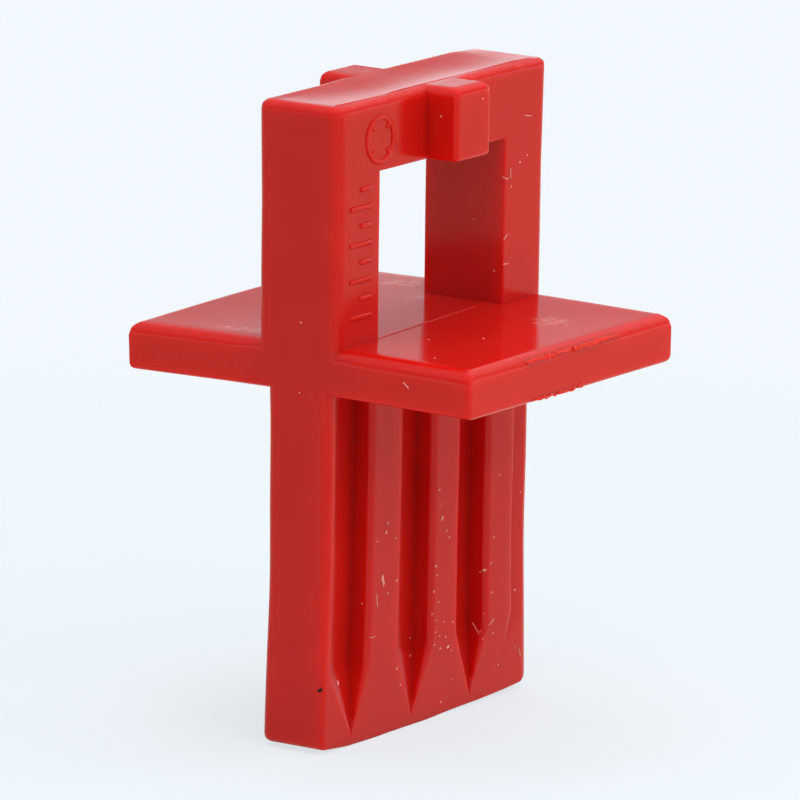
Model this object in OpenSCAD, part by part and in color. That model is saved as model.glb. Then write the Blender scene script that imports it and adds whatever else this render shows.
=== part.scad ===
/* [Blade] */
// Thickness of the blade, which is the gap kept between two boards
blade_t = 10; // [7:0.5:16]
// Height of the blade from its end to the underside of the flange
blade_h = 48.3; // [36:0.1:70]
// Rounding of the edges at the blade's end
end_r = 0.8; // [0.4:0.1:2]

/* [Grooves] */
// Width of a groove between its two walls, at the blade's face
groove_w = 7.4; // [5:0.1:9]
// Depth of a groove below the blade's face
groove_d = 2.7; // [2.2:0.1:3.2]
// Degrees by which a groove's walls lean outwards from floor to face
groove_draft = 3; // [1:0.5:8]
// Rounding of a groove's right-hand lip, seen from in front of the face
right_lip_r = 0.9; // [0.3:0.1:1.2]
// Rounding of a groove's left-hand lip, which is much crisper
left_lip_r = 0.4; // [0.2:0.1:1]
// Hollow rounding where a groove's walls meet its floor
groove_foot_r = 0.3; // [0.2:0.1:0.8]
// Distance from one groove to the next
groove_pitch = 14.1; // [12:0.1:18]
// Flat strip between the blade's edge and the first groove
groove_margin = 3.1; // [2.4:0.1:5]
// Length of the pointed run-out at a groove's lower end
groove_tip = 9; // [4:0.5:14]
// Plain strip between the groove's point and the blade's end
groove_gap = 1.2; // [1:0.1:8]

/* [Flange] */
// Length of the flange across the boards
flange_l = 55.5; // [40:0.5:80]
// Thickness of the flange
flange_t = 6.5; // [4.5:0.1:9]
// Rounding along the flange's top edges
flange_top_r = 1.4; // [0.5:0.1:2]
// Rounding along the flange's lower edges
flange_low_r = 1.0; // [0.4:0.1:2]
// Rounding of the flange's four upright corners
flange_corner_r = 0.4; // [0.2:0.1:2]

/* [Handle] */
// Thickness of the handle
handle_t = 13; // [10:0.5:20]
// Height of the handle above the flange
handle_h = 32.5; // [26:0.5:50]
// Height of the bar across the top of the handle
bar_h = 9.8; // [6:0.1:14]
// Width of each upright leg beside the finger window
leg_w = 9.4; // [6:0.1:14]

/* [Tabs] */
// Width of the two grip tabs on the bar
tab_w = 8; // [5:0.5:14]
// How far each tab stands out from the handle
tab_out = 4.8; // [2.5:0.1:8]
// Rounding of the tab's upper, lower and outer edges
tab_r = 1.2; // [0.4:0.1:1.6]
// Hollow rounding where a tab meets the bar
tab_root_r = 0.9; // [0.3:0.1:1.5]

/* [Whole spacer] */
// Width of the blade, the flange and the handle, which end flush
body_w = 49; // [42:0.5:70]
// Rounding of the upright edges of blade and handle and of the handle's top
edge_r = 1.4; // [0.5:0.1:1.6]

/* [Hidden] */
$fn = 64;
// Heights of the main levels above the blade's end
flange_z = blade_h;
core_z = flange_z + flange_t / 2;
deck_z = flange_z + flange_t;
bar_z = deck_z + handle_h - bar_h;
top_z = deck_z + handle_h;
// As many grooves as fit between the blade's two edges
groove_count = floor((body_w - 2 * groove_margin - groove_w) / groove_pitch) + 1;
groove_end_z = groove_gap + groove_tip;
// How far a cutting shape reaches past the surface that it cuts
cut = 1;
// Flat steps that make up the small roundings along a groove
lip_steps = 8;
foot_steps = 4;

// A rectangle about the origin with its four corners rounded
module rounded_rect(w, h, r) {
    square([w - 2 * r, h], center = true);
    square([w, h - 2 * r], center = true);
    for (x = [-1, 1], y = [-1, 1])
        translate([x * (w / 2 - r), y * (h / 2 - r)])
            circle(r);
}

// A rectangle that stands on the x axis, its two upper corners rounded
module arched_rect(w, h, r) {
    translate([-w / 2, 0])
        square([w, h - r]);
    translate([-w / 2 + r, 0])
        square([w - 2 * r, h]);
    for (x = [-1, 1])
        translate([x * (w / 2 - r), h - r])
            circle(r);
}

// Turns a flat outline in y and z into a slab l long along x
module along_x(l) {
    rotate([90, 0, 90])
        linear_extrude(height = l, center = true)
            children();
}

// Turns a flat outline in x and z into a slab l long along y
module along_y(l) {
    rotate([90, 0, 0])
        linear_extrude(height = l, center = true)
            children();
}

// An upright post with rounded upper edges (top_r) and upright edges (side_r)
module post(t, w, h, top_r, side_r) {
    intersection() {
        along_y(w + cut)
            arched_rect(t, h, top_r);
        along_x(t + cut)
            arched_rect(w, h, top_r);
        linear_extrude(height = h + cut)
            rounded_rect(t, w, side_r);
    }
}

// Points along an arc about mid, from one angle to another
function arc(mid, r, from, to, steps) = [
    for (i = [0 : steps])
        let (a = from + (to - from) * i / steps)
            mid + r * [cos(a), sin(a)]
];

// Points down one wall of a groove, from above the blade's face to the floor
function groove_side(lip_r) =
    let (
        lean = tan(45 - groove_draft / 2),
        floor_x = groove_w / 2 - groove_d * tan(groove_draft),
        lip_mid = [groove_w / 2 + lip_r * lean, -lip_r],
        foot_mid = [floor_x - groove_foot_r * lean, groove_foot_r - groove_d]
    )
    concat(
        [[lip_mid[0], cut]],
        arc(lip_mid, lip_r, 90, 180 - groove_draft, lip_steps),
        arc(foot_mid, groove_foot_r, -groove_draft, -90, foot_steps)
    );

// The same points on the other side, in the opposite order
function mirrored(points) = [
    for (i = [len(points) - 1 : -1 : 0])
        [-points[i][0], points[i][1]]
];

// Section that a groove cuts, with the face on the x axis and seen from below
module groove_section() {
    polygon(concat(groove_side(left_lip_r), mirrored(groove_side(right_lip_r))));
}

// One groove: a straight channel that runs out to a point on the face
module groove() {
    linear_extrude(height = core_z - groove_end_z)
        groove_section();
    mirror([0, 0, 1])
        linear_extrude(height = groove_tip, scale = 0)
            groove_section();
}

// The grooves of one wide face, set out from its left edge
module groove_row() {
    for (i = [0 : groove_count - 1])
        translate([blade_t / 2, -body_w / 2 + groove_margin + groove_w / 2 + i * groove_pitch, groove_end_z])
            rotate([0, 0, -90])
                groove();
}

module blade() {
    difference() {
        translate([0, 0, core_z])
            mirror([0, 0, 1])
                post(blade_t, body_w, core_z, end_r, edge_r);
        groove_row();
        rotate([0, 0, 180])
            groove_row();
    }
}

module flange() {
    intersection() {
        translate([0, 0, flange_z])
            linear_extrude(height = flange_t)
                rounded_rect(flange_l, body_w, flange_corner_r);
        union() {
            translate([0, 0, core_z])
                flange_half(flange_t / 2, flange_top_r);
            translate([0, 0, core_z])
                mirror([0, 0, 1])
                    flange_half(flange_t / 2, flange_low_r);
        }
    }
}

// Half of the flange's thickness, rounded along its outer edges
module flange_half(h, r) {
    intersection() {
        along_y(body_w + cut)
            arched_rect(flange_l, h, r);
        along_x(flange_l + cut)
            arched_rect(body_w, h, r);
    }
}

// Cross-shaped plan of the bar and its tabs, hollowed at the four roots
module tab_plan() {
    reach = handle_t + 2 * tab_out;
    root_r = min(tab_root_r, tab_out - tab_r);
    rounded_rect(reach, tab_w, flange_corner_r);
    difference() {
        square([handle_t + 2 * root_r, tab_w + 2 * root_r], center = true);
        for (x = [-1, 1], y = [-1, 1])
            translate([x * (handle_t / 2 + root_r), y * (tab_w / 2 + root_r)])
                circle(root_r);
    }
}

module tabs() {
    reach = handle_t + 2 * tab_out;
    root_w = tab_w + 2 * tab_root_r;
    translate([0, 0, bar_z + bar_h / 2])
        intersection() {
            linear_extrude(height = bar_h, center = true)
                tab_plan();
            along_y(root_w)
                rounded_rect(reach, bar_h, tab_r);
            along_x(reach)
                rounded_rect(root_w, bar_h, tab_r);
        }
}

module handle() {
    difference() {
        translate([0, 0, core_z])
            post(handle_t, body_w, top_z - core_z, edge_r, edge_r);
        translate([-handle_t, -body_w / 2 + leg_w, core_z - cut])
            cube([2 * handle_t, body_w - 2 * leg_w, bar_z - core_z + cut]);
    }
    tabs();
}

module spacer() {
    color("crimson") {
        blade();
        flange();
        handle();
    }
}

spacer();
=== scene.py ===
import math
import bpy
from mathutils import Matrix, Vector


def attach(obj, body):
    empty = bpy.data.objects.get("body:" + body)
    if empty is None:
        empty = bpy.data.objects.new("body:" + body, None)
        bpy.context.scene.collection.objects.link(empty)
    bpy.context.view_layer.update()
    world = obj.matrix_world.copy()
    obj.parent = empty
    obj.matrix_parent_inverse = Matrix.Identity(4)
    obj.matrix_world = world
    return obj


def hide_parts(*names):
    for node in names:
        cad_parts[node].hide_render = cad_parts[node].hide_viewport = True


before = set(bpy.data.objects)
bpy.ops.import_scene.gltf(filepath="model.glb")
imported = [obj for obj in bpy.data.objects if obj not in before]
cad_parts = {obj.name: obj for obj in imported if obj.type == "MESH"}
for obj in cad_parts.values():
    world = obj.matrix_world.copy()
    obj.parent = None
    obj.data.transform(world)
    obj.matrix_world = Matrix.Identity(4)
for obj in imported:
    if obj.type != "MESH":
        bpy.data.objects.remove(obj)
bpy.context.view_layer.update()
mm = 0.001
print("frame loaded")

# camera, solved from the straight edges in the photograph, in millimetres and degrees
cameraView = {
    "azimuth": 34.095, "elevation": 12.065, "roll": 0.757,
    "sideways": 0.119, "upwards": 5.042, "distance": 1317.04,
    "aimHeight": 48.3, "focalInWidths": 12.225, "sensor": 36.0, "clip": (0.1, 20),
}


def addCamera(view):
    azimuth, elevation, roll = (math.radians(view[k]) for k in ("azimuth", "elevation", "roll"))
    right = Vector((math.cos(azimuth), math.sin(azimuth), 0))
    ahead = Vector((-math.sin(azimuth) * math.cos(elevation),
                    math.cos(azimuth) * math.cos(elevation), -math.sin(elevation)))
    up = right.cross(ahead)
    right, up = (right * math.cos(roll) + up * math.sin(roll),
                 up * math.cos(roll) - right * math.sin(roll))
    place = -(right * view["sideways"] + up * view["upwards"] + ahead * view["distance"])
    place.z += view["aimHeight"]
    data = bpy.data.cameras.new("photoCamera")
    data.sensor_width = view["sensor"]
    data.lens = view["focalInWidths"] * view["sensor"]
    data.clip_start, data.clip_end = view["clip"]
    camera = bpy.data.objects.new("photoCamera", data)
    bpy.context.scene.collection.objects.link(camera)
    camera.matrix_world = Matrix.Translation(place * mm) @ Matrix(
        (right, up, -ahead)).transposed().to_4x4()
    bpy.context.scene.camera = camera


addCamera(cameraView)
print("camera placed")


# the pieces are modelled in millimetres and brought to metres when they are done
mostly = 0.9  # a direction whose part along an axis is larger counts as lying along it
mergeNear = 0.0005  # points closer than this are merged


def pickOnly(*objects):
    bpy.ops.object.select_all(action="DESELECT")
    for each in objects:
        each.select_set(True)
    bpy.context.view_layer.objects.active = objects[-1]


def addBlock(name, low, high):
    centre = [(a + b) / 2 for a, b in zip(low, high)]
    size = [b - a for a, b in zip(low, high)]
    bpy.ops.object.select_all(action="DESELECT")
    bpy.ops.mesh.primitive_cube_add(size=1, location=centre, scale=size)
    block = bpy.context.object
    block.name = name
    bpy.ops.object.transform_apply(location=True, rotation=True, scale=True)
    return block


# the test is given an edge's middle and direction
def pickEdges(piece, test):
    pickOnly(piece)
    bpy.ops.object.mode_set(mode="EDIT")
    bpy.ops.mesh.select_all(action="DESELECT")
    bpy.ops.mesh.select_mode(type="EDGE")
    bpy.ops.object.mode_set(mode="OBJECT")
    points = piece.data.vertices
    for edge in piece.data.edges:
        a, b = (points[k].co for k in edge.vertices)
        if test((a + b) / 2, (b - a).normalized()):
            edge.select = True
    bpy.ops.object.mode_set(mode="EDIT")


# the test is given a face's centre and normal
def pickFaces(piece, test):
    pickOnly(piece)
    bpy.ops.object.mode_set(mode="EDIT")
    bpy.ops.mesh.select_all(action="DESELECT")
    bpy.ops.mesh.select_mode(type="FACE")
    bpy.ops.object.mode_set(mode="OBJECT")
    for face in piece.data.polygons:
        if test(face.center, face.normal):
            face.select = True
    bpy.ops.object.mode_set(mode="EDIT")


def roundEdges(piece, test, radius, steps):
    pickEdges(piece, test)
    bpy.ops.mesh.bevel(offset=radius, offset_type="OFFSET", segments=steps, profile=0.5,
                       affect="EDGES", clamp_overlap=True)
    bpy.ops.object.mode_set(mode="OBJECT")


# a bevel weight for the edges where the test holds; the widest rounding weighs 1
def weighEdges(piece, test, radius, widest):
    weights = piece.data.attributes.get("bevel_weight_edge") or piece.data.attributes.new(
        "bevel_weight_edge", "FLOAT", "EDGE")
    points = piece.data.vertices
    for edge in piece.data.edges:
        a, b = (points[k].co for k in edge.vertices)
        if test((a + b) / 2, (b - a).normalized()):
            weights.data[edge.index].value = radius / widest


def cutAcross(piece, axis, places):
    pickOnly(piece)
    bpy.ops.object.mode_set(mode="EDIT")
    for place in places:
        spot, facing = [0, 0, 0], [0, 0, 0]
        spot[axis], facing[axis] = place, 1
        bpy.ops.mesh.select_all(action="SELECT")
        bpy.ops.mesh.bisect(plane_co=spot, plane_no=facing, use_fill=False)
    bpy.ops.object.mode_set(mode="OBJECT")


def pullFaces(piece, test, shift):
    pickFaces(piece, test)
    bpy.ops.mesh.extrude_region_move(TRANSFORM_OT_translate={"value": shift})
    bpy.ops.object.mode_set(mode="OBJECT")


def applyModifier(piece, modifier):
    pickOnly(piece)
    bpy.ops.object.modifier_apply(modifier=modifier.name)


def combine(piece, tool, operation):
    change = piece.modifiers.new("combine", "BOOLEAN")
    change.operation = operation
    change.solver = "EXACT"
    change.object = tool
    applyModifier(piece, change)
    bpy.data.objects.remove(tool)


def near(value, target, slack=0.02):
    return abs(value - target) < slack


# merges what was drawn to one point and turns the faces outwards, in edit mode
def closeUp():
    bpy.ops.mesh.select_all(action="SELECT")
    bpy.ops.mesh.remove_doubles(threshold=mergeNear)
    bpy.ops.mesh.normals_make_consistent(inside=False)
    bpy.ops.object.mode_set(mode="OBJECT")


# the lower end is drawn out and gathered in one point
def drawToPoint(piece, point):
    pickFaces(piece, lambda c, n: n.z < -mostly)
    bpy.ops.mesh.extrude_region_move(TRANSFORM_OT_translate={"value": (0, 0, -1)})
    bpy.ops.transform.resize(value=(0, 0, 0), center_override=point)


def joinPieces(pieces, name):
    pickOnly(*pieces)
    if len(pieces) > 1:
        bpy.ops.object.join()
    joined = bpy.context.object
    joined.name = name
    return joined


def turnHalfRound(piece):
    pickOnly(piece)
    bpy.ops.transform.rotate(value=math.pi, orient_axis="Z", center_override=(0, 0, 0))
    bpy.ops.object.transform_apply(location=True, rotation=True, scale=True)


# sizes of the moulding; near and far are its ends along y, as the camera sees them
spacerSizes = {
    "width": 49.0, "bladeThick": 10.0, "bladeHeight": 48.3, "bladeRound": 1.3,
    "endRound": 0.8, "endFarRound": 2.1, "endBackRound": 1.25, "endCrisp": 0.2,
    "flangeLong": 55.5, "flangeThick": 6.5, "flangeTopRound": 1.8, "flangeNearRound": 2.4,
    "flangeLowRound": 0.5, "flangeTipRound": 0.6, "flangeLeftTipRound": 1.5,
    "flangeFarRound": 2.4, "flangeCornerRound": 0.35, "flangeFarCornerRound": 0.7,
    "handleThick": 13.0, "handleHeight": 32.5, "handleRound": 1.4, "handleFarRound": 0.5,
    "barHeight": 9.8, "legNear": 9.75, "legFar": 9.85, "windowRound": 0.3,
    "tabWide": 8.0, "tabOut": 4.8, "tabTopRound": 1.3, "tabLowRound": 0.6,
    "tabSideRound": 0.7, "roundSteps": 8, "straight": 0.01, "smoothAngle": 32,
}


# cross-shaped body: the flange first, the handle pulled up, the blade pulled down
def modelBody(sizes):
    half, wide = sizes["flangeLong"] / 2, sizes["width"] / 2
    grip, edge = sizes["handleThick"] / 2, sizes["bladeThick"] / 2
    low = sizes["bladeHeight"]
    deck = low + sizes["flangeThick"]
    top = deck + sizes["handleHeight"]
    bar = top - sizes["barHeight"]
    tab = sizes["tabWide"] / 2
    lowY, highY = -wide + sizes["legNear"], wide - sizes["legFar"]
    body = addBlock("spacerMoulding", (-half, -wide, low), (half, wide, deck))
    cutAcross(body, 0, (-grip, -edge, edge, grip))
    pullFaces(body, lambda c, n: n.z > mostly and abs(c.x) < grip, (0, 0, bar - deck))
    pullFaces(body, lambda c, n: n.z > mostly and abs(c.x) < grip, (0, 0, top - bar))
    pullFaces(body, lambda c, n: n.z < -mostly and abs(c.x) < edge, (0, 0, -low))
    cutAcross(body, 1, (lowY, -tab, tab, highY))
    for side in (-1, 1):
        pullFaces(body, lambda c, n: n.x * side > mostly and c.z > bar and abs(c.y) < tab,
                  (side * sizes["tabOut"], 0, 0))
    # window: the two faces opposite each other are opened and joined through the handle
    pickFaces(body, lambda c, n: abs(n.x) > mostly and near(abs(c.x), grip)
              and deck < c.z < bar and lowY < c.y < highY)
    bpy.ops.mesh.dissolve_faces()
    bpy.ops.mesh.delete(type="ONLY_FACE")
    bpy.ops.object.mode_set(mode="OBJECT")
    pickEdges(body, lambda m, d: near(abs(m.x), grip) and (
        (abs(d.y) > mostly and (near(m.z, deck) or near(m.z, bar)) and lowY < m.y < highY)
        or (abs(d.z) > mostly and (near(m.y, lowY) or near(m.y, highY)) and deck < m.z < bar)))
    bpy.ops.mesh.bridge_edge_loops()
    bpy.ops.mesh.select_all(action="SELECT")
    bpy.ops.mesh.dissolve_limited(angle_limit=sizes["straight"])
    bpy.ops.mesh.normals_make_consistent(inside=False)
    bpy.ops.object.mode_set(mode="OBJECT")

    # each kind of edge has its own rounding
    reach = grip + sizes["tabOut"]
    widest = sizes["flangeNearRound"]
    upright = lambda d: abs(d.z) > mostly
    onTab = lambda m: abs(m.x) > grip + 0.1
    rounded = (
        (lambda m, d: upright(d) and near(abs(m.x), grip) and near(abs(m.y), wide),
         "handleRound"),
        (lambda m, d: upright(d) and near(abs(m.x), edge) and near(abs(m.y), wide),
         "bladeRound"),
        (lambda m, d: near(m.z, top) and not onTab(m), "handleRound"),
        (lambda m, d: near(m.y, wide) and not onTab(m) and (
            near(m.z, top) or (upright(d) and near(m.x, -grip))), "handleFarRound"),
        (lambda m, d: near(m.z, top) and onTab(m), "tabTopRound"),
        (lambda m, d: near(m.z, bar) and onTab(m), "tabLowRound"),
        (lambda m, d: upright(d) and near(abs(m.x), reach), "tabSideRound"),
        (lambda m, d: near(m.z, deck) and (near(abs(m.x), half) or near(abs(m.y), wide)),
         "flangeTopRound"),
        (lambda m, d: near(m.z, deck) and near(m.y, -wide) and m.x > grip, "flangeNearRound"),
        (lambda m, d: near(m.z, low) and near(abs(m.y), wide), "flangeLowRound"),
        (lambda m, d: near(m.z, low) and near(m.y, wide), "flangeFarRound"),
        (lambda m, d: near(m.z, low) and near(m.x, half), "flangeTipRound"),
        (lambda m, d: near(m.z, low) and near(m.x, -half), "flangeLeftTipRound"),
        (lambda m, d: upright(d) and near(abs(m.x), half), "flangeCornerRound"),
        (lambda m, d: upright(d) and near(m.x, half) and near(m.y, wide),
         "flangeFarCornerRound"),
        (lambda m, d: near(m.z, 0) and near(m.y, -wide), "endRound"),
        (lambda m, d: near(m.z, 0) and near(m.y, wide), "endFarRound"),
        (lambda m, d: near(m.z, 0) and near(m.x, edge), "endCrisp"),
        (lambda m, d: near(m.z, 0) and near(m.x, -edge), "endBackRound"),
        (lambda m, d: near(abs(m.x), grip) and (
            (upright(d) and deck < m.z < bar and (near(m.y, lowY) or near(m.y, highY)))
            or (abs(d.y) > mostly and near(m.z, bar) and lowY < m.y < highY)), "windowRound"),
    )
    for test, radius in rounded:
        weighEdges(body, test, sizes[radius], widest)
    bevel = body.modifiers.new("roundings", "BEVEL")
    bevel.limit_method = "WEIGHT"
    bevel.offset_type = "OFFSET"
    bevel.width = widest
    bevel.segments = sizes["roundSteps"]
    bevel.use_clamp_overlap = False
    applyModifier(body, bevel)
    return body


# the three grooves of one wide face; walls, depth and point of each, from the near edge on
grooveSizes = {
    "nearWall": (-22.9, -7.1, 6.95), "farWall": (-14.15, 0.85, 14.1),
    "depth": (2.65, 2.95, 3.1), "floorTilt": (0.4, 0.0, 0.0), "lean": 0.12,
    "bendHeight": 10.2, "point": (-17.55, -3.65, 10.25), "pointHeight": 1.2,
    "nearLip": 0.15, "farLip": 0.9, "lipSteps": 8, "foot": 0.03, "footSteps": 1,
    "headroom": 0.02, "above": 1.0, "flare": 1.6, "floorSlack": 0.1, "wallSlack": 0.08,
}


def modelGrooveCutter(sizes, face, number):
    nearWall, farWall = sizes["nearWall"][number], sizes["farWall"][number]
    deep, bend = sizes["depth"][number], sizes["bendHeight"]
    top = spacerSizes["bladeHeight"] - sizes["headroom"]
    cutter = addBlock("cutter", (face - deep, nearWall, bend), (face, farWall, top))
    middle = (nearWall + farWall) / 2
    # a wider head outside the face; its inner corners turn into the rounded lips
    pullFaces(cutter, lambda c, n: n.x > mostly, (sizes["above"], 0, 0))
    for side in (-1, 1):
        pullFaces(cutter, lambda c, n: n.y * side > mostly and c.x > face,
                  (0, side * sizes["flare"], 0))
    # draft: the floor is a little narrower than the mouth
    onFloor = lambda m: m.x < face - deep + sizes["floorSlack"]
    pickFaces(cutter, lambda c, n: n.x < -mostly and onFloor(c))
    narrower = 1 - 2 * sizes["lean"] / (farWall - nearWall)
    bpy.ops.transform.resize(value=(1, narrower, 1), center_override=(face, middle, 0))
    bpy.ops.object.mode_set(mode="OBJECT")
    along = lambda m, d: abs(d.z) > mostly and abs(m.z - (top + bend) / 2) < 1
    roundEdges(cutter, lambda m, d: along(m, d) and near(m.x, face) and near(m.y, nearWall),
               sizes["nearLip"], sizes["lipSteps"])
    roundEdges(cutter, lambda m, d: along(m, d) and near(m.x, face) and near(m.y, farWall),
               sizes["farLip"], sizes["lipSteps"])
    roundEdges(cutter, lambda m, d: along(m, d) and near(m.x, face - deep),
               sizes["foot"], sizes["footSteps"])
    # a floor may run deeper towards the far wall
    for wall, side in ((nearWall + sizes["lean"], 1), (farWall - sizes["lean"], -1)):
        pickEdges(cutter, lambda m, d: along(m, d) and onFloor(m)
                  and near(m.y, wall, sizes["wallSlack"]))
        bpy.ops.transform.translate(value=(side * sizes["floorTilt"][number], 0, 0))
        bpy.ops.object.mode_set(mode="OBJECT")
    # the lower end is drawn down to a point on the face
    pickFaces(cutter, lambda c, n: n.z < -mostly)
    point = (face, sizes["point"][number], sizes["pointHeight"])
    bpy.ops.mesh.extrude_region_move(
        TRANSFORM_OT_translate={"value": (0, point[1] - middle, point[2] - bend)})
    bpy.ops.transform.resize(value=(0, 0, 1), center_override=point)
    closeUp()
    return cutter


def cutGrooves(body, sizes, grooves):
    half = sizes["bladeThick"] / 2
    for number in range(len(grooves["point"])):
        combine(body, modelGrooveCutter(grooves, half, number), "DIFFERENCE")
        back = modelGrooveCutter(grooves, half, number)
        turnHalfRound(back)
        combine(body, back, "DIFFERENCE")


moulding = modelBody(spacerSizes)
print("body modelled,", len(moulding.data.polygons), "faces")
cutGrooves(moulding, spacerSizes, grooveSizes)
print("grooves cut,", len(moulding.data.polygons), "faces")


# the lands between the grooves rise a little towards the next groove's near edge
landSizes = {
    "start": (-13.1, 1.9, 15.1), "ridge": (-7.55, 6.5, 19.75), "end": (-7.47, 6.58, 20.15),
    "bend": (9.9, 10.4, 10.7), "point": ((-8.44, 6.6), (4.34, 4.7), (17.31, 3.8)),
    "rise": 0.16, "sunk": 0.4, "into": 0.2, "pointSunk": 0.02,
}


def raiseLands(body, sizes, lands):
    face = sizes["bladeThick"] / 2
    top = sizes["bladeHeight"] + lands["into"]
    for number in range(len(lands["start"])):
        start, ridge, end = (lands[k][number] for k in ("start", "ridge", "end"))
        bend, (pointY, pointZ) = lands["bend"][number], lands["point"][number]
        for turned in (False, True):
            wedge = addBlock("wedge", (face - lands["sunk"], start, bend), (face, end, top))
            cutAcross(wedge, 1, (ridge,))
            pickEdges(wedge, lambda m, d: near(m.x, face) and near(m.y, ridge)
                      and abs(d.z) > mostly)
            bpy.ops.transform.translate(value=(lands["rise"], 0, 0))
            bpy.ops.object.mode_set(mode="OBJECT")
            drawToPoint(wedge, (face, pointY, pointZ))
            bpy.ops.transform.translate(value=(-lands["pointSunk"], 0, 0))
            closeUp()
            if turned:
                turnHalfRound(wedge)
            combine(body, wedge, "UNION")


# beyond the last land, the strip beside the blade's far edge dips a little
stripSizes = {
    "start": 20.15, "end": 23.3, "bend": 10.7, "point": (18.0, 4.6), "deep": 0.28,
    "headroom": 0.04, "above": 1.0, "edgeOut": 0.02, "pointOut": 0.03,
}


def cutStrips(body, sizes, strip):
    face = sizes["bladeThick"] / 2
    top = sizes["bladeHeight"] - strip["headroom"]
    for turned in (False, True):
        cutter = addBlock("stripCutter", (face - strip["deep"], strip["start"], strip["bend"]),
                          (face + strip["above"], strip["end"], top))
        pickEdges(cutter, lambda m, d: near(m.x, face - strip["deep"])
                  and near(m.y, strip["end"]) and abs(d.z) > mostly)
        bpy.ops.transform.translate(value=(strip["deep"] + strip["edgeOut"], 0, 0))
        bpy.ops.object.mode_set(mode="OBJECT")
        drawToPoint(cutter, (face + strip["pointOut"], *strip["point"]))
        closeUp()
        if turned:
            turnHalfRound(cutter)
        combine(body, cutter, "DIFFERENCE")


raiseLands(moulding, spacerSizes, landSizes)
cutStrips(moulding, spacerSizes, stripSizes)
print("lands raised,", len(moulding.data.polygons), "faces")


# raised marks on the near leg and bar: a plain scale of strokes, and a plain ring
markSizes = {
    "raised": 0.26, "sunk": 0.3, "stroke": 0.72, "soft": 0.2, "softSteps": 3,
    "scaleRight": -16.8, "scaleLow": 58.2, "strokeStep": 2.45, "strokes": 8,
    "longStroke": 4.9, "shortStroke": 2.6,
    "ringCentre": (-14.8, 81.8), "ringRadius": 3.35, "ringPoints": 48, "rimSlack": 0.05,
    "ringTicks": 4, "tickLong": 1.0, "tickRaised": 0.234, "tickWide": 0.48, "tickSoft": 0.16,
}


def addStroke(body, face, low, high, marks):
    stroke = addBlock("stroke", (face - marks["sunk"], low[0], low[1]),
                      (face + marks["raised"], high[0], high[1]))
    soft, steps = marks["soft"], marks["softSteps"]
    roundEdges(stroke, lambda m, d: near(m.x, face + marks["raised"]), soft, steps)
    roundEdges(stroke, lambda m, d: abs(d.x) > mostly, soft, steps)
    combine(body, stroke, "UNION")


def addMarks(body, sizes, marks):
    face, wide, right = sizes["handleThick"] / 2, marks["stroke"], marks["scaleRight"]
    for number in range(marks["strokes"]):
        level = marks["scaleLow"] + number * marks["strokeStep"]
        long = marks["longStroke"] if number % 2 == 0 else marks["shortStroke"]
        addStroke(body, face, (right - long, level), (right, level + wide), marks)
    # ring: a disk, opened in the middle and given its thickness
    y, z = marks["ringCentre"]
    bpy.ops.object.select_all(action="DESELECT")
    bpy.ops.mesh.primitive_circle_add(vertices=marks["ringPoints"], radius=marks["ringRadius"],
                                      fill_type="NGON", location=(face - marks["sunk"], y, z),
                                      rotation=(0, math.pi / 2, 0))
    ring = bpy.context.object
    bpy.ops.object.transform_apply(location=True, rotation=True, scale=True)
    pickFaces(ring, lambda c, n: True)
    bpy.ops.mesh.inset(thickness=wide, depth=0)
    bpy.ops.mesh.delete(type="FACE")
    bpy.ops.mesh.select_all(action="SELECT")
    bpy.ops.mesh.extrude_region_move(
        TRANSFORM_OT_translate={"value": (marks["sunk"] + marks["raised"], 0, 0)})
    bpy.ops.mesh.select_all(action="SELECT")
    bpy.ops.mesh.normals_make_consistent(inside=False)
    bpy.ops.object.mode_set(mode="OBJECT")
    top = face + marks["raised"]
    fromMiddle = lambda m: math.hypot(m.y - y, m.z - z)
    roundEdges(ring, lambda m, d: near(m.x, top) and abs(d.x) < 0.1 and (
        fromMiddle(m) > marks["ringRadius"] - marks["rimSlack"]
        or fromMiddle(m) < marks["ringRadius"] - wide + marks["rimSlack"]),
        marks["soft"], marks["softSteps"])
    combine(body, ring, "UNION")
    # short ticks that stand inwards from the ring, a quarter turn apart
    reach = marks["ringRadius"] - wide / 2 - marks["tickLong"]
    top = face + marks["tickRaised"]
    for number in range(marks["ringTicks"]):
        angle = math.tau * (number + 0.5) / marks["ringTicks"]
        tick = addBlock("tick", (face - marks["sunk"], y + reach, z - marks["tickWide"] / 2),
                        (top, y + reach + marks["tickLong"], z + marks["tickWide"] / 2))
        roundEdges(tick, lambda m, d: near(m.x, top), marks["tickSoft"], marks["softSteps"])
        pickOnly(tick)
        bpy.ops.transform.rotate(value=-angle, orient_axis="X", center_override=(0, y, z))
        bpy.ops.object.transform_apply(location=True, rotation=True, scale=True)
        combine(body, tick, "UNION")


# fine raised seams where the mould's halves met: along the bar's top and over the flange
seamSizes = {
    "across": 4.85, "wide": 0.2, "raised": 0.09, "sunk": 0.3, "soft": 0.03, "softSteps": 2,
    "endGap": 0.5, "deckRun": ((6.2, -15.0), (4.2, 15.1)),
}


def addSeam(body, level, start, end, seams):
    (x0, y0), (x1, y1) = start, end
    thick, half = seams["wide"] / 2, math.hypot(x1 - x0, y1 - y0) / 2
    seam = addBlock("seam", (-thick, -half, level - seams["sunk"]),
                    (thick, half, level + seams["raised"]))
    roundEdges(seam, lambda m, d: near(m.z, level + seams["raised"], 0.01),
               seams["soft"], seams["softSteps"])
    seam.rotation_euler = (0, 0, math.atan2(x0 - x1, y1 - y0))
    seam.location = ((x0 + x1) / 2, (y0 + y1) / 2, 0)
    pickOnly(seam)
    bpy.ops.object.transform_apply(location=True, rotation=True, scale=True)
    combine(body, seam, "UNION")


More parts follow.
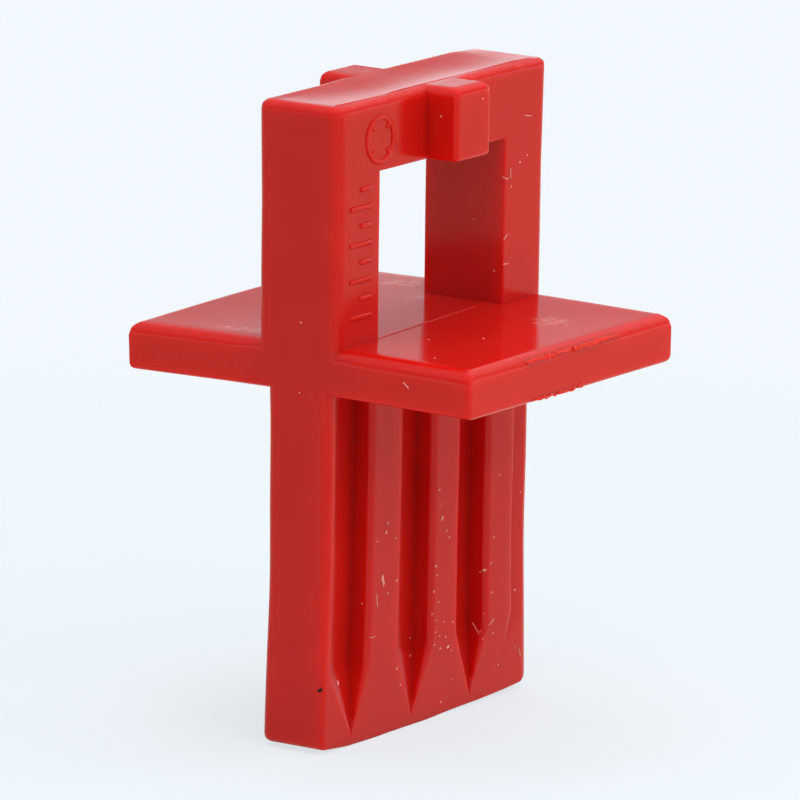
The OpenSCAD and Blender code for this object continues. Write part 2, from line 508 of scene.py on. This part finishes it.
def addSeams(body, sizes, seams):
    deck = sizes["bladeHeight"] + sizes["flangeThick"]
    reach = sizes["width"] / 2 - sizes["handleRound"] - seams["endGap"]
    addSeam(body, deck + sizes["handleHeight"], (seams["across"], -reach),
            (seams["across"], reach), seams)
    addSeam(body, deck, *seams["deckRun"], seams)


addMarks(moulding, spacerSizes, markSizes)
addSeams(moulding, spacerSizes, seamSizes)
print("marks and seams added,", len(moulding.data.polygons), "faces")


# rows of cuts all over, so that the moulding can take its slight warp and its sinks
rowSizes = {
    "bladeRows": 12, "legRows": 5, "wingCuts": 4,
    "widthCuts": (-21.5, -18.5, -12.0, -8.2, -2.6, 0.0, 2.6, 5.6, 9.0, 12.2, 18.3, 21.6),
    "barCuts": (-4.2, -3.2, -2.0, -0.8, 0.6, 1.9, 3.0, 3.9),
}


def cutRows(body, sizes, rows):
    low = sizes["bladeHeight"]
    deck = low + sizes["flangeThick"]
    top = deck + sizes["handleHeight"]
    bar = top - sizes["barHeight"]
    half, grip = sizes["flangeLong"] / 2, sizes["handleThick"] / 2
    count = rows["bladeRows"]
    cutAcross(body, 2, [low * k / count for k in range(1, count)]
              + [deck + (bar - deck) * k / rows["legRows"] for k in range(1, rows["legRows"])])
    cutAcross(body, 0, [side * (grip + (half - grip) * k / rows["wingCuts"])
                        for side in (-1, 1) for k in range(1, rows["wingCuts"])])
    cutAcross(body, 0, rows["barCuts"])
    cutAcross(body, 1, rows["widthCuts"])


cutRows(moulding, spacerSizes, rowSizes)
print("rows cut,", len(moulding.data.polygons), "faces")


# shallow hollows where the thick places shrank: level, centre, half widths and depth
levelSlack = 0.09
sinks = (
    {"level": 87.3, "centre": (0.3, 0.0), "half": (5.9, 24.0), "depth": 0.33},
    {"level": 87.3, "centre": (0.3, -15.6), "half": (5.6, 7.4), "depth": 0.14},
    {"level": 87.3, "centre": (0.3, 4.4), "half": (5.6, 8.6), "depth": 0.13},
    {"level": 54.8, "centre": (16.5, 0.5), "half": (10.0, 21.5), "depth": 0.12},
    {"level": 54.8, "centre": (-16.5, 0.0), "half": (10.0, 21.5), "depth": 0.09},
)


def sinkTops(body, hollows):
    for point in body.data.vertices:
        for hollow in hollows:
            if near(point.co.z, hollow["level"], levelSlack):
                along, across = ((point.co[k] - hollow["centre"][k]) / hollow["half"][k]
                                 for k in (0, 1))
                if abs(along) < 1 and abs(across) < 1:
                    point.co.z -= hollow["depth"] * (1 - along ** 2) * (1 - across ** 4)


sinkTops(moulding, sinks)

# how the moulding pulled out of true as it cooled, in millimetres; the first three lists run
# from the blade's end up to the handle's top, the others from the near edge to the far one
warpSizes = {
    "facesOut": (0.50, 0.25, -0.21, -0.12, -0.14, 0.20, 0.30, 0.33, 0.72),
    "sideways": (0.03, 0.09, 0.19, 0.24, 0.22, 0.03, -0.04, 0.0, 0.0),
    "bladeThicker": (-0.15, -0.25, -0.22, -0.10, 0.15, 0.0, 0.0, 0.0, 0.0),
    "topRise": (0.05, 0.06, 0.06, 0.20, 0.20, 0.20, 0.20, 0.22, -0.14),
    "endCrown": (0.08, -0.47, -0.57, -0.50, -0.54, -0.32, -0.23, 0.0, 0.37),
    "wingDroop": (0.34, 0.22, 0.09, -0.01, -0.08, -0.10, 0.0, 0.15, 0.30),
    "rightDroop": 0.28, "wingShort": 0.10, "columns": 7,
}


def warpBody(body, sizes, warp):
    half, wide = sizes["flangeLong"] / 2, sizes["width"] / 2
    grip, low = sizes["handleThick"] / 2, sizes["bladeHeight"]
    top = low + sizes["flangeThick"] + sizes["handleHeight"]
    last, lastRow = len(warp["facesOut"]) - 1, len(warp["topRise"]) - 1
    bpy.ops.object.select_all(action="DESELECT")
    bpy.ops.object.add(type="LATTICE", location=(0, 0, top / 2))
    cage = bpy.context.object
    cage.scale = (2 * half, 2 * wide, top)
    cage.data.points_u = warp["columns"]
    cage.data.points_v, cage.data.points_w = lastRow + 1, last + 1
    for axis in "uvw":
        setattr(cage.data, "interpolation_type_" + axis, "KEY_CATMULL_ROM")
    for point in cage.data.points:
        x, y = point.co.x * 2 * half, point.co.y * 2 * wide
        level = round((point.co.z + 0.5) * last)
        row = round((point.co.y + 0.5) * lastRow)
        out = warp["facesOut"][level] * y / wide + warp["sideways"][level]
        thicker = warp["bladeThicker"][level] * max(-1, min(1, 2 * x / sizes["bladeThick"]))
        rise = 0
        if level == last:
            rise = warp["topRise"][row]
        elif level == 0:
            rise = warp["endCrown"][row]
        elif abs(level * top / last - low) < top / last and abs(x) > grip:
            droop = warp["rightDroop"] if x > 0 else warp["wingDroop"][row]
            rise = -droop * (abs(x) - grip) / (half - grip)
            thicker = -warp["wingShort"] * x / half
        point.co_deform.x += thicker / (2 * half)
        point.co_deform.y += out / (2 * wide)
        point.co_deform.z += rise / top
    change = body.modifiers.new("warp", "LATTICE")
    change.object = cage
    applyModifier(body, change)
    bpy.data.objects.remove(cage)


warpBody(moulding, spacerSizes, warpSizes)
print("moulding warped")


# merges, closes and smooths a piece, and brings it from millimetres to metres
def finishMesh(piece, angle):
    pickOnly(piece)
    bpy.ops.object.mode_set(mode="EDIT")
    bpy.ops.mesh.select_all(action="SELECT")
    bpy.ops.mesh.remove_doubles(threshold=mergeNear)
    bpy.ops.mesh.fill_holes(sides=4)
    bpy.ops.transform.resize(value=(mm, mm, mm), center_override=(0, 0, 0))
    bpy.ops.object.mode_set(mode="OBJECT")
    bpy.ops.object.shade_smooth_by_angle(angle=math.radians(angle))
    weigh = piece.modifiers.new("weigh", "WEIGHTED_NORMAL")
    weigh.keep_sharp = True
    weigh.weight = 100
    applyModifier(piece, weigh)


finishMesh(moulding, spacerSizes["smoothAngle"])
print("moulding finished")


# wraps a shader socket, so that sums and products of sockets add their own nodes
class Amount:
    def __init__(self, shader, socket):
        self.shader, self.socket = shader, socket

    def __add__(self, other):
        return self.shader.maths("ADD", self, other)

    __radd__ = __add__

    def __mul__(self, other):
        return self.shader.maths("MULTIPLY", self, other)

    __rmul__ = __mul__

    def __sub__(self, other):
        return self.shader.maths("SUBTRACT", self, other)

    def __rsub__(self, other):
        return self.shader.maths("SUBTRACT", other, self)

    def __abs__(self):
        return self.shader.maths("ABSOLUTE", self)


class Shader:
    def __init__(self, owner):
        owner.use_nodes = True
        self.tree = owner.node_tree
        self.tree.nodes.clear()

    # settings are set first, then each socket takes a value or an amount
    def add(self, kind, settings=None, sockets=None, output=0):
        node = self.tree.nodes.new("ShaderNode" + kind)
        for name, value in (settings or {}).items():
            if name == "stops":
                for place, level in value[2:]:
                    node.color_ramp.elements.new(place)
                for stop, (place, level) in zip(node.color_ramp.elements, value):
                    stop.position, stop.color = place, (level, level, level, 1)
            else:
                setattr(node, name, value)
        for name, value in (sockets or {}).items():
            if isinstance(value, Amount):
                self.tree.links.new(value.socket, node.inputs[name])
            else:
                node.inputs[name].default_value = value
        return Amount(self, node.outputs[output]) if node.outputs else node

    def maths(self, operation, *values):
        return self.add("Math", {"operation": operation}, dict(enumerate(values)))

    # 0 up to the first value, 1 from the second one on
    def ramp(self, amount, first, second):
        return self.add("MapRange", {"interpolation_type": "SMOOTHSTEP"},
                        {"Value": amount, "From Min": first, "From Max": second})

    def blend(self, factor, first, second):
        return self.add("Mix", {"data_type": "RGBA"}, {0: factor, 6: first, 7: second}, 2)

    # place on the piece in millimetres
    def place(self):
        return self.add("VectorMath", {"operation": "SCALE"},
                        {0: self.add("TexCoord", output="Object"), "Scale": 1 / mm})

    def noise(self, place, size, detail=2.0):
        return self.add("TexNoise", {}, {"Vector": place, "Scale": 1 / size, "Detail": detail})

    def axes(self, place):
        return [self.add("SeparateXYZ", {}, {0: place}, output) for output in range(3)]


# glossy red plastic; rims, deck and wings are where its finish changes, in millimetres; the
# wings' lighter red is painted light, the rims' darker red is painted shade, and the pale scuffs
# on rims and deck are partly real wear and partly painted sheen
plasticLook = {
    "colour": (0.642, 0.0092, 0.0060, 1), "deeper": (0.618, 0.0082, 0.0053, 1),
    # the flange's lighter red is painted light, the rims' darker red is painted shade
    "paintedLitFlange": (0.682, 0.0105, 0.0066, 1), "paintedRimShade": (0.575, 0.024, 0.016, 1),
    # the scuffed colour is partly real wear, partly painted sheen
    "scuffAndSheen": (0.72, 0.10, 0.085, 1), "roughness": 0.14, "index": 1.35,
    "scatter": (1.0, 0.1, 0.08), "scatterDepth": 0.0035, "bumpDepth": 0.000012,
    "cloudSize": 9.0, "cloudEdges": (0.35, 0.65), "smearSize": 1.6, "grainSize": 0.22,
    "flangeRim": {"across": (26.5, 27.4), "up": (53.0, 54.3), "share": 0.8},
    "handleRim": {"up": (86.0, 87.1), "across": (5.3, 6.2), "end": (7.4, 6.8), "share": 0.4},
    "paintedLitWings": {"up": (47.8, 48.8), "end": (54.8, 53.4), "across": (6.0, 12.0)},
    "deck": {"level": 54.8, "up": (54.3, 54.6), "end": (55.3, 55.0)},
    "wornAndSheenEdge": 0.30, "wornSmears": (0.50, 0.72), "dullSmears": (0.42, 0.66), "dullGlintShare": 0.8,
    "cloudRough": 0.10, "wornRough": 0.25, "dullRough": 0.18,
    "grainBump": 0.5, "smearBump": 2.5, "rimBump": 0.5, "flatBump": 0.04, "dullBump": 5.0,
    # duller, scuffed patches on the flange's top, whose pale colour is partly real scuffing and
    # partly painted glint, as centre x, y and half size; patchCore is the share of that size
    # that is dull all over
    "patchCore": 0.3,
    "patches": ((-14.4, -20.9, 1.5), (-11.8, -20.5, 1.7), (-9.2, -20.2, 1.9),
                (-12.0, 17.6, 3.6), (-5.4, 11.6, 2.0), (17.2, 9.4, 4.2)),
}


def redPlastic(look):
    material = bpy.data.materials.new("redPlastic")
    shader = Shader(material)
    place = shader.place()
    x, y, z = shader.axes(place)
    clouds = shader.noise(place, look["cloudSize"])
    smears = shader.noise(place, look["smearSize"], 4.0)
    grain = shader.noise(place, look["grainSize"], 3.0)
    # rims round the flange and along the handle's top, darkened with painted shade, with worn
    # scuffs whose paler colour is partly real wear and partly painted sheen
    rim, bar, paintedLitWing, deck = (look[k] for k in ("flangeRim", "handleRim", "paintedLitWings", "deck"))
    flangeRim = shader.ramp(abs(x), *rim["across"]) * shader.ramp(z, *rim["up"])
    handleRim = (shader.ramp(z, *bar["up"]) * shader.ramp(abs(x), *bar["across"])
                 * shader.ramp(abs(x), *bar["end"]))
    rims = flangeRim + handleRim
    # worn scuffs on the rims; their paler colour is partly real wear, partly painted sheen
    wornAndSheen = rims * shader.ramp(smears, *look["wornSmears"]) * look["wornAndSheenEdge"]
    # dull scuffed patches on the deck; their paler colour is partly real scuffing, partly
    # painted glint
    dullAndGlint = 0.0
    for centreX, centreY, size in look["patches"]:
        away = shader.add("VectorMath", {"operation": "DISTANCE"},
                          {0: place, 1: (centreX, centreY, deck["level"])}, "Value")
        dullAndGlint = shader.ramp(away, size, size * look["patchCore"]) + dullAndGlint
    deckOnly = shader.ramp(z, *deck["up"]) * shader.ramp(z, *deck["end"])
    dullAndGlint = dullAndGlint * deckOnly * shader.ramp(smears, *look["dullSmears"])
    colour = shader.blend(shader.ramp(clouds, *look["cloudEdges"]), look["colour"],
                          look["deeper"])
    # painted light: the flange's wings get a lighter red, for how brightly they are lit
    paintedLitWings = (shader.ramp(z, *paintedLitWing["up"]) * shader.ramp(z, *paintedLitWing["end"])
             * shader.ramp(abs(x), *paintedLitWing["across"]))
    colour = shader.blend(paintedLitWings, colour, look["paintedLitFlange"])
    # painted shade: the rims are darkened to tone down their highlight
    colour = shader.blend(rim["share"] * flangeRim + bar["share"] * handleRim, colour,
                          look["paintedRimShade"])
    # the pale scuff colour on rims and patches: partly real wear, partly painted sheen and glint
    colour = shader.blend(wornAndSheen + dullAndGlint * look["dullGlintShare"], colour, look["scuffAndSheen"])
    rough = (look["roughness"] + look["cloudRough"] * (clouds - 0.5)
             + look["wornRough"] * wornAndSheen + look["dullRough"] * dullAndGlint)
    height = (look["grainBump"] * grain
              + look["smearBump"] * smears * (rims * look["rimBump"] + look["flatBump"])
              + look["dullBump"] * dullAndGlint * grain)
    bump = shader.add("Bump", {}, {"Strength": 1.0, "Distance": look["bumpDepth"],
                                   "Height": height})
    surface = shader.add("BsdfPrincipled", {}, {
        "Base Color": colour, "Roughness": rough, "Normal": bump, "IOR": look["index"],
        "Subsurface Weight": 1.0, "Subsurface Radius": look["scatter"],
        "Subsurface Scale": look["scatterDepth"]})
    shader.add("OutputMaterial", {}, {"Surface": surface})
    return material


def finishPiece(piece, material):
    piece.data.materials.clear()
    piece.data.materials.append(material)
    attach(piece, "root")


finishPiece(moulding, redPlastic(plasticLook))
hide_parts("spacer")
print("plastic laid on")


# outward direction of the side that a piece of dirt or flash lies on
sideOutward = {"front": (1, 0, 0), "near": (0, -1, 0), "top": (0, 0, 1)}
settleSizes = {"above": 0.9, "reach": 4}  # start over the given place, and how far down


# the nearest place on the moulding under a point, and the surface's direction there
def settle(body, place, side):
    outward = Vector(sideOutward[side])
    start = (Vector(place) + outward * settleSizes["above"]) * mm
    hit, where, normal, face = body.ray_cast(start, -outward, distance=settleSizes["reach"] * mm)
    return (where / mm, normal) if hit else (Vector(place), outward)


# torn flash along the flange's edges: start and end along y, level and height of each strip
burrSizes = {
    "face": 27.75, "inward": 0.30, "outward": 0.16, "step": 0.55,
    "ragged": 0.24, "firstSeed": 3, "smoothness": 0.5, "smoothAngle": 60,
    "strips": ((-10.9, -4.3, 53.55, 0.55), (-3.8, -0.5, 53.65, 0.40), (0.4, 6.4, 53.55, 0.65),
               (6.6, 11.4, 53.65, 0.45), (-9.8, -3.7, 48.30, 0.35), (-3.3, 0.5, 48.30, 0.45),
               (1.3, 2.3, 48.35, 0.35)),
}


def modelBurrs(body, burrs):
    pieces = []
    for number, (start, end, level, tall) in enumerate(burrs["strips"]):
        x = settle(body, (burrs["face"], (start + end) / 2, level), "front")[0].x
        strip = addBlock("strip", (x - burrs["inward"], start, level - tall / 2),
                         (x + burrs["outward"], end, level + tall / 2))
        cutAcross(strip, 1, [start + burrs["step"] * k
                             for k in range(1, int((end - start) / burrs["step"]))])
        pickOnly(strip)
        bpy.ops.object.mode_set(mode="EDIT")
        bpy.ops.mesh.select_all(action="SELECT")
        bpy.ops.transform.vertex_random(offset=burrs["ragged"],
                                        seed=number + burrs["firstSeed"])
        bpy.ops.mesh.subdivide(number_cuts=1, smoothness=burrs["smoothness"])
        bpy.ops.object.mode_set(mode="OBJECT")
        pieces.append(strip)
    return joinPieces(pieces, "tornFlash")


tornFlash = modelBurrs(moulding, burrSizes)
finishMesh(tornFlash, burrSizes["smoothAngle"])


# the plastic where it is torn: paler, dull and fibrous
tornLook = {
    "colour": (0.72, 0.022, 0.014, 1), "paler": (0.80, 0.065, 0.045, 1),
    "fibreSize": 0.35, "fibreEdges": (0.35, 0.65), "roughness": 0.35, "fibreRough": 0.25,
    "index": 1.2, "bumpDepth": 0.00003, "scatter": (1.0, 0.15, 0.12), "scatterDepth": 0.0008,
}


def tornPlastic(look):
    material = bpy.data.materials.new("tornPlastic")
    shader = Shader(material)
    fibres = shader.noise(shader.place(), look["fibreSize"], 3.0)
    surface = shader.add("BsdfPrincipled", {}, {
        "Base Color": shader.blend(shader.ramp(fibres, *look["fibreEdges"]), look["colour"],
                                   look["paler"]),
        "Roughness": look["roughness"] + look["fibreRough"] * fibres, "IOR": look["index"],
        "Normal": shader.add("Bump", {}, {"Distance": look["bumpDepth"], "Height": fibres}),
        "Subsurface Weight": 1.0, "Subsurface Radius": look["scatter"],
        "Subsurface Scale": look["scatterDepth"]})
    shader.add("OutputMaterial", {}, {"Surface": surface})
    return material


finishPiece(tornFlash, tornPlastic(tornLook))
print("torn flash modelled")


# specks of dust on each side: place in millimetres, length, and turn in degrees; a speck's
# width is the first share plus the second times its length
speckSizes = {
    "wide": (0.12, 0.32), "thick": 0.05, "cornerShare": 0.42, "edgeShare": 0.6, "roundSteps": 2,
    "front": ((6.5, 20.25, 74.5, 0.24, 20), (6.5, 18.5, 73.8, 0.34, 50),
              (6.5, 16.5, 70.7, 0.28, 80), (11.3, 2.0, 85.4, 0.30, 30),
              (5.0, -7.7, 20.3, 0.36, 60), (5.0, 1.9, 20.5, 0.42, 30),
              (5.0, 1.6, 17.0, 0.34, 70), (5.0, -9.7, 18.9, 0.25, 20),
              (5.0, 2.6, 15.4, 0.30, 0), (5.0, 3.2, 8.8, 0.36, 45),
              (5.0, 5.0, 8.7, 0.60, 20), (5.0, 5.9, 8.0, 0.30, 80),
              (5.0, 3.5, 1.3, 0.30, 10), (5.0, 15.6, 14.3, 0.34, 15),
              (5.0, 16.1, 8.5, 0.28, 65), (5.0, 17.5, 3.8, 0.30, 35),
              (5.0, 21.6, 13.5, 0.36, 5), (5.0, 21.6, 5.4, 0.24, 85),
              (5.0, -14.0, 18.1, 0.26, 0), (5.0, 3.2, 26.9, 0.70, 75),
              (5.0, 4.3, 25.0, 0.36, 20), (5.0, 4.9, 24.0, 0.30, 70),
              (5.0, 2.9, 28.9, 0.26, 10), (5.0, 2.4, 31.0, 0.40, 5),
              (5.0, 3.9, 12.4, 0.26, 40), (5.0, 2.2, 12.9, 0.24, 10),
              (5.0, 1.4, 13.9, 0.24, 30), (5.0, 2.0, 11.3, 0.26, 55),
              (5.0, 3.0, 10.6, 0.24, 15), (5.0, 4.4, 10.2, 0.24, 75),
              (5.0, 1.8, 9.6, 0.28, 35), (5.0, 6.0, 12.0, 0.28, 60),
              (5.0, -12.3, 26.5, 0.24, 60), (5.0, -10.3, 27.4, 0.44, 80),
              (5.0, -8.0, 26.2, 0.30, 75), (5.0, 16.9, 30.5, 0.28, 30),
              (5.0, 15.4, 18.4, 0.26, 0), (5.0, 15.9, 22.0, 0.24, 45),
              (5.0, 0.2, 10.4, 0.24, 20), (5.0, -0.6, 8.2, 0.26, 65),
              (5.0, -6.3, 5.6, 0.28, 25), (5.0, -7.2, 8.0, 0.30, 50),
              (5.0, 6.2, 3.9, 0.24, 40), (5.0, 22.4, 27.1, 0.26, 70),
              (2.2, -2.0, 5.9, 0.30, 70), (5.0, -18.3, 7.9, 0.62, 85),
              (5.0, -10.95, 21.2, 0.85, 85), (5.0, -10.7, 20.5, 0.60, 75),
              (5.0, -9.9, 28.6, 0.34, 60), (5.0, 2.2, 19.2, 0.26, 10)),
    "near": ((0.67, -24.5, 57.9, 0.30, 15), (1.6, 14.85, 65.9, 0.24, 30),
             (5.05, 14.85, 59.2, 0.30, 10), (8.7, -4.0, 83.6, 0.30, 40),
             (4.5, 14.0, 17.6, 0.55, 5), (3.9, 14.0, 17.3, 0.26, 50),
             (0.3, -24.5, 48.3, 0.22, 60)),
    "top": ((18.8, -19.8, 54.8, 0.28, 30), (11.6, -10.6, 54.8, 0.30, 70),
            (16.7, -5.1, 54.8, 0.40, 50), (-6.9, -14.8, 54.8, 0.30, 20),
            (-8.2, -14.2, 54.8, 0.36, 60), (-9.3, -13.4, 54.8, 0.28, 0),
            (-10.1, 15.6, 54.8, 0.30, 45), (-12.4, 17.0, 54.8, 0.28, 80),
            (17.1, 11.0, 54.8, 0.30, 35), (14.0, 12.4, 54.8, 0.26, 65),
            (20.3, 9.5, 54.8, 0.34, 15)),
}


def modelSpecks(body, name, specks):
    pieces = []
    for side in (side for side in sideOutward if side in specks):
        for x, y, z, long, angle in specks[side]:
            wide = specks["wide"][0] + specks["wide"][1] * long
            speck = addBlock("speck", (-long / 2, -wide / 2, -specks["thick"]),
                             (long / 2, wide / 2, specks["thick"]))
            roundEdges(speck, lambda m, d: abs(d.z) > mostly,
                       min(wide, long) * specks["cornerShare"], specks["roundSteps"])
            roundEdges(speck, lambda m, d: near(abs(m.z), specks["thick"], 0.001),
                       specks["thick"] * specks["edgeShare"], specks["roundSteps"])
            where, normal = settle(body, (x, y, z), side)
            speck.matrix_world = (Matrix.Translation(where)
                                  @ normal.to_track_quat("Z", "Y").to_matrix().to_4x4()
                                  @ Matrix.Rotation(math.radians(angle), 4, "Z"))
            pieces.append(speck)
    pickOnly(*pieces)
    bpy.ops.object.transform_apply(location=True, rotation=True, scale=True)
    return joinPieces(pieces, name)


# loose fibres and raised scratches, as thin bent threads that follow the surface
threadSizes = {
    "thin": 0.065, "sides": 2, "smoothSteps": 4, "lift": 0.5, "order": 3,
    "runs": (
        ("near", (2.75, 14.0, 10.0), (3.4, 14.0, 9.5), (4.1, 13.8, 8.8), (4.8, 13.5, 8.0)),
        ("near", (4.4, 14.0, 11.5), (4.9, 14.0, 10.6), (4.8, 13.6, 9.6), (4.2, 13.3, 9.0)),
        ("front", (6.5, 14.4, 72.4), (6.5, 14.8, 72.1), (6.5, 15.3, 71.9), (6.5, 15.6, 72.0)),
        ("front", (6.5, 16.2, 73.3), (6.5, 16.25, 72.5), (6.5, 16.24, 71.8)),
        ("front", (6.5, 14.9, 63.6), (6.5, 15.2, 63.9), (6.5, 15.6, 64.3)),
        ("front", (6.5, 14.9, 60.2), (6.5, 15.3, 60.3), (6.5, 15.9, 60.2)),
        ("front", (6.5, 19.5, 80.1), (6.5, 20.2, 79.9), (6.5, 21.0, 79.8)),
        ("front", (5.0, -10.9, 21.7), (5.0, -10.8, 20.9), (5.0, -10.75, 20.0)),
        ("front", (5.0, -10.9, 21.2), (5.0, -10.85, 20.8), (5.0, -10.85, 20.3)),
        ("front", (5.0, -13.6, 13.5), (5.0, -13.2, 13.4), (5.0, -12.6, 13.5)),
        ("front", (5.0, -12.2, 19.3), (5.0, -12.4, 18.4), (5.0, -12.0, 17.5)),
        ("near", (17.1, -24.5, 51.9), (17.5, -24.5, 51.6), (17.9, -24.5, 51.2)),
        ("front", (5.0, 22.4, 5.2), (5.0, 22.8, 4.5), (5.0, 22.9, 4.0)),
    ),
}


def modelThreads(body, threads):
    pieces = []
    for side, *run in threads["runs"]:
        curve = bpy.data.curves.new("thread", "CURVE")
        curve.dimensions = "3D"
        curve.bevel_depth = threads["thin"]
        curve.bevel_resolution = threads["sides"]
        curve.use_fill_caps = True
        curve.resolution_u = threads["smoothSteps"]
        spline = curve.splines.new("NURBS")
        spline.points.add(len(run) - 1)
        for point, place in zip(spline.points, run):
            where, normal = settle(body, place, side)
            point.co = (*(where + normal * threads["thin"] * threads["lift"]), 1)
        spline.use_endpoint_u = True
        spline.order_u = threads["order"]
        thread = bpy.data.objects.new("thread", curve)
        bpy.context.scene.collection.objects.link(thread)
        pickOnly(thread)
        bpy.ops.object.convert(target="MESH")
        pieces.append(bpy.context.object)
    return joinPieces(pieces, "looseThreads")


# one larger speck of dark dirt low on the near narrow face
darkSpeckSizes = {
    "wide": (0.2, 0.3), "thick": 0.06, "cornerShare": 0.42, "edgeShare": 0.6, "roundSteps": 2,
    "near": ((4.35, -24.2, 8.3, 0.75, 35),),
}

# main colour of each kind of dirt, and the darker one in its mottle
dirtLooks = {
    "paleDust": ((0.96, 0.50, 0.42, 1), (0.90, 0.34, 0.26, 1)),
    "paleFibre": ((0.94, 0.48, 0.40, 1), (0.86, 0.28, 0.22, 1)),
    "darkDirt": ((0.035, 0.012, 0.010, 1), (0.012, 0.008, 0.008, 1)),
    "mottleSize": 0.3, "mottleEdges": (0.3, 0.7), "roughness": 0.6, "mottleRough": 0.3,
    "index": 1.2, "bumpDepth": 0.00002, "smoothAngle": 40,
}


def dirt(name, looks):
    material = bpy.data.materials.new(name)
    shader = Shader(material)
    mottle = shader.noise(shader.place(), looks["mottleSize"], 3.0)
    surface = shader.add("BsdfPrincipled", {}, {
        "Base Color": shader.blend(shader.ramp(mottle, *looks["mottleEdges"]), *looks[name]),
        "Roughness": looks["roughness"] + looks["mottleRough"] * mottle, "IOR": looks["index"],
        "Normal": shader.add("Bump", {}, {"Distance": looks["bumpDepth"], "Height": mottle})})
    shader.add("OutputMaterial", {}, {"Surface": surface})
    return material


for piece, lookName in (
        (modelSpecks(moulding, "dustSpecks", speckSizes), "paleDust"),
        (modelThreads(moulding, threadSizes), "paleFibre"),
        (modelSpecks(moulding, "darkSpeck", darkSpeckSizes), "darkDirt")):
    finishMesh(piece, dirtLooks["smoothAngle"])
    finishPiece(piece, dirt(lookName, dirtLooks))
print("dust and threads laid on")


# studio: a pale floor and backdrop, which gloss sees too; floorHalf is in metres, floorLevel
# and shadowReach in millimetres
studio = {
    "backdrop": (0.887, 0.939, 0.983, 1), "floorHalf": 6.0, "floorLevel": -0.6,
    "shadowShare": 0.25, "floorColour": (0.76, 0.86, 0.90, 1),
    "floorSheen": (0.83, 0.777, 0.655, 1), "shadowReach": (90, 260),
    # brightness that gloss sees above the horizon, against the sine of the height
    "gloss": ((0.0, 1.3), (0.12, 1.3), (0.19, 0.40), (0.34, 0.40), (0.55, 0.95), (1.0, 0.95)),
}


def paleFloor(settings):
    bpy.ops.object.select_all(action="DESELECT")
    bpy.ops.mesh.primitive_plane_add(size=2 * settings["floorHalf"],
                                     location=(0, 0, settings["floorLevel"] * mm))
    floor = bpy.context.object
    floor.name = "floor"
    material = bpy.data.materials.new("paleFloor")
    shader = Shader(material)
    # the floor is lit plainly close to the piece, and fades into the backdrop further out
    away = shader.add("VectorMath", {"operation": "LENGTH"}, {0: shader.place()}, "Value")
    shaded = settings["shadowShare"] * (1 - shader.ramp(away, *settings["shadowReach"]))
    camera, glossy = (shader.add("LightPath", output=name)
                      for name in ("Is Camera Ray", "Is Glossy Ray"))
    share = shader.maths("MAXIMUM", camera, glossy) * (1 - shaded)
    surface = shader.add("MixShader", {}, {
        0: share, 1: shader.add("BsdfDiffuse", {}, {"Color": settings["floorColour"]}),
        2: shader.add("Emission", {}, {"Color": shader.blend(
            glossy, settings["backdrop"], settings["floorSheen"])})})
    shader.add("OutputMaterial", {}, {"Surface": surface})
    floor.data.materials.append(material)


def paleWorld(settings):
    world = bpy.data.worlds.new("studio")
    bpy.context.scene.world = world
    shader = Shader(world)
    camera, glossy, through = (shader.add("LightPath", output=name) for name in (
        "Is Camera Ray", "Is Glossy Ray", "Is Transmission Ray"))
    height = shader.add("SeparateXYZ", {}, {0: shader.add("TexCoord", output="Generated")}, "Z")
    level = shader.add("ValToRGB", {"stops": settings["gloss"]}, {"Fac": height})
    dark = shader.add("Background", {}, {"Color": (0, 0, 0, 1)})
    plain = shader.add("Background", {}, {"Color": settings["backdrop"]})
    sheen = shader.add("Background", {}, {
        "Color": shader.add("VectorMath", {"operation": "SCALE"},
                            {0: settings["backdrop"][:3], "Scale": level})})
    surface = shader.add("MixShader", {}, {
        0: shader.maths("MAXIMUM", camera, through), 1: dark, 2: plain})
    surface = shader.add("MixShader", {}, {0: glossy, 1: surface, 2: sheen})
    shader.add("OutputWorld", {}, {"Surface": surface})


paleFloor(studio)
paleWorld(studio)

# soft round lamps, placed by degrees about the piece; lampRoom is in metres
lamps = [
    {"azimuth": 45, "elevation": 15, "power": 5.02},
    {"azimuth": 270, "elevation": 15, "power": 2.62},
    {"azimuth": 0, "elevation": 45, "power": 3.83},
    {"azimuth": 315, "elevation": 45, "power": 3.49},
    {"azimuth": 90, "elevation": 70, "power": 5.25},
    {"azimuth": 180, "elevation": 70, "power": 3.84},
    {"azimuth": 270, "elevation": 70, "power": 3.15},
]
lampRoom = {"distance": 1.2, "size": 0.9, "aimHeight": 0.045}


def hangLamps(rows, room):
    for number, lamp in enumerate(rows):
        light = bpy.data.lights.new(f"softBox{number}", "AREA")
        light.shape = "DISK"
        light.size = room["size"]
        light.energy = lamp["power"]
        holder = bpy.data.objects.new(light.name, light)
        bpy.context.scene.collection.objects.link(holder)
        azimuth, elevation = math.radians(lamp["azimuth"]), math.radians(lamp["elevation"])
        outward = Vector((math.cos(azimuth) * math.cos(elevation),
                          math.sin(azimuth) * math.cos(elevation), math.sin(elevation)))
        holder.location = Vector((0, 0, room["aimHeight"])) + outward * room["distance"]
        holder.rotation_euler = (-outward).to_track_quat("-Z", "Y").to_euler()
        holder.visible_glossy = False


hangLamps(lamps, lampRoom)
print("studio lit")

bpy.context.scene.view_settings.view_transform = "Standard"
